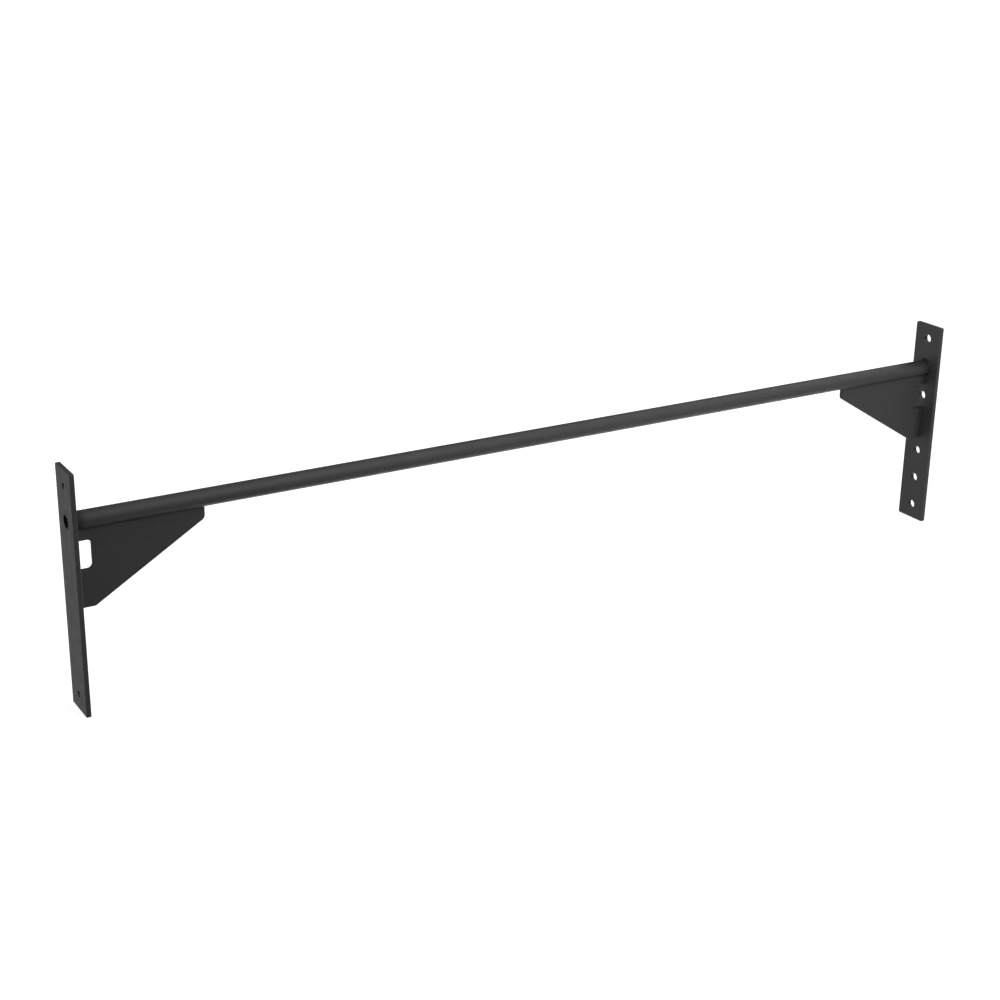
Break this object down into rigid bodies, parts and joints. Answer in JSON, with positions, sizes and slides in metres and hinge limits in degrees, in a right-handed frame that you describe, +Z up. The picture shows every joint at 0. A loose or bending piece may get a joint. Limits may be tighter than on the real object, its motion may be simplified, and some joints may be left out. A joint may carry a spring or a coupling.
{
  "type": "pull up bar",
  "caption": "Straight tubular pull-up bar with a drilled flat end plate and a triangular gusset at each end, for bolting between two uprights.",
  "frame": {"origin": "on the bar's axis, half way between the end plates", "axes": "+X along the bar towards the end plate with five holes, +Z up, towards the short ends of the plates, and +Y horizontal and square to the bar"},
  "size_m": [1.816, 0.07, 0.418],
  "materials": {
    "bar_coat": "matte black powder coat",
    "plate_coat": "matte black powder coat",
    "gusset_coat": "matte black powder coat",
    "weld_coat": "matte black powder coat over rippled weld"
  },
  "bodies": {
    "root": {"grip_bar": "bar_coat", "left_bar_weld_front": "weld_coat", "left_bar_weld_rear": "weld_coat", "left_end_plate": "plate_coat", "left_foot_weld_front": "weld_coat", "left_foot_weld_rear": "weld_coat", "left_gusset": "gusset_coat", "left_neck_weld_front": "weld_coat", "left_neck_weld_rear": "weld_coat", "left_ring_weld": "weld_coat", "left_seam_weld": "weld_coat", "right_bar_weld_front": "weld_coat", "right_bar_weld_rear": "weld_coat", "right_end_plate": "plate_coat", "right_foot_weld_front": "weld_coat", "right_foot_weld_rear": "weld_coat", "right_gusset": "gusset_coat", "right_neck_weld_front": "weld_coat", "right_neck_weld_rear": "weld_coat", "right_ring_weld": "weld_coat", "right_seam_weld": "weld_coat"}
  },
  "joints": []
}
